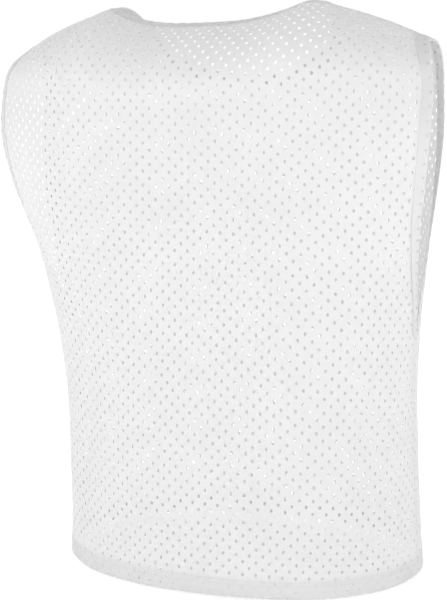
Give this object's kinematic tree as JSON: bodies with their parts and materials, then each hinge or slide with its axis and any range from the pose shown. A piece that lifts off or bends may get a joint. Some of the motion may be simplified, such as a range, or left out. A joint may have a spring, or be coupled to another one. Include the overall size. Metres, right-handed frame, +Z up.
{
  "type": "training bib",
  "caption": "Sleeveless training bib of white open-hole mesh cloth, hollow as when worn, with self-fabric bands round the neck and armholes and a turned-up hem.",
  "frame": {"origin": "midway between the two high shoulder points, where the shoulder seams meet the neck band", "axes": "+Z up from the hem towards the shoulders; -Y out of the front, +Y out of the back; +X towards the wearer's left"},
  "size_m": [0.4752, 0.2943, 0.6006],
  "materials": {
    "mesh_cloth": "matt knitted polyester with open holes",
    "band_cloth": "the same cloth folded double"
  },
  "bodies": {
    "root": {"front_panel": "mesh_cloth", "back_panel": "mesh_cloth", "neck_band": "band_cloth", "armhole_band_left": "band_cloth", "armhole_band_right": "band_cloth"}
  },
  "joints": []
}
